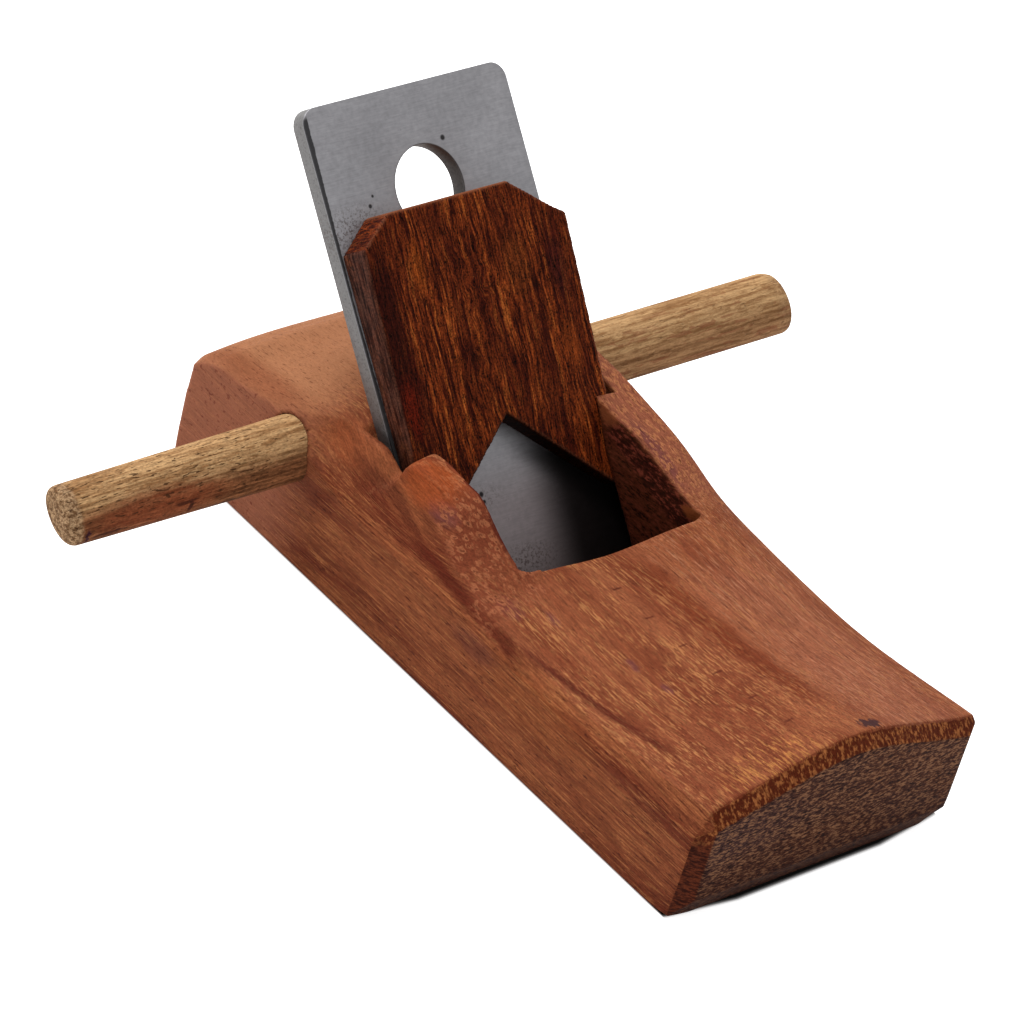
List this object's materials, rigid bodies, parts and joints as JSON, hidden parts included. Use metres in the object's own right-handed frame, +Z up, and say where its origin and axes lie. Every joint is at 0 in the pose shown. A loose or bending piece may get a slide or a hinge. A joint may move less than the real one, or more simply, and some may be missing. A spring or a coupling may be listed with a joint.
{
  "type": "hand plane",
  "caption": "Short wooden smoothing plane with a shaped body, a sloping steel iron held by a notched wedge, and an oval cross handle.",
  "frame": {"origin": "on the sole, halfway across the plane and halfway between the toe end and the rearmost point of the iron", "axes": "+X towards the toe, +Y along the handle, to the left of someone who pushes the plane, +Z up from the sole"},
  "size_m": [0.133, 0.16, 0.0669],
  "materials": {
    "body_wood": "open-pored reddish hardwood, thinly oiled, satin",
    "iron_steel": "matte ground tool steel with small pits",
    "wedge_wood": "dark striped hardwood, satin",
    "handle_wood": "pale brown open-pored hardwood, unfinished"
  },
  "bodies": {
    "body": {"body": "body_wood"},
    "iron": {"iron": "iron_steel"},
    "wedge": {"wedge": "wedge_wood"},
    "handle": {"handle": "handle_wood"}
  },
  "joints": [
    {"name": "iron_slide", "type": "slide", "parent": "body", "child": "iron", "axis": [-0.6947, 0, 0.7193], "range_m": [-0.001, 0.04]},
    {"name": "wedge_slide", "type": "slide", "parent": "body", "child": "wedge", "axis": [-0.6947, 0, 0.7193], "range_m": [0, 0.02]},
    {"name": "handle_slide", "type": "slide", "parent": "body", "child": "handle", "axis": [0, 1, 0], "range_m": [-0.045, 0.045]}
  ]
}
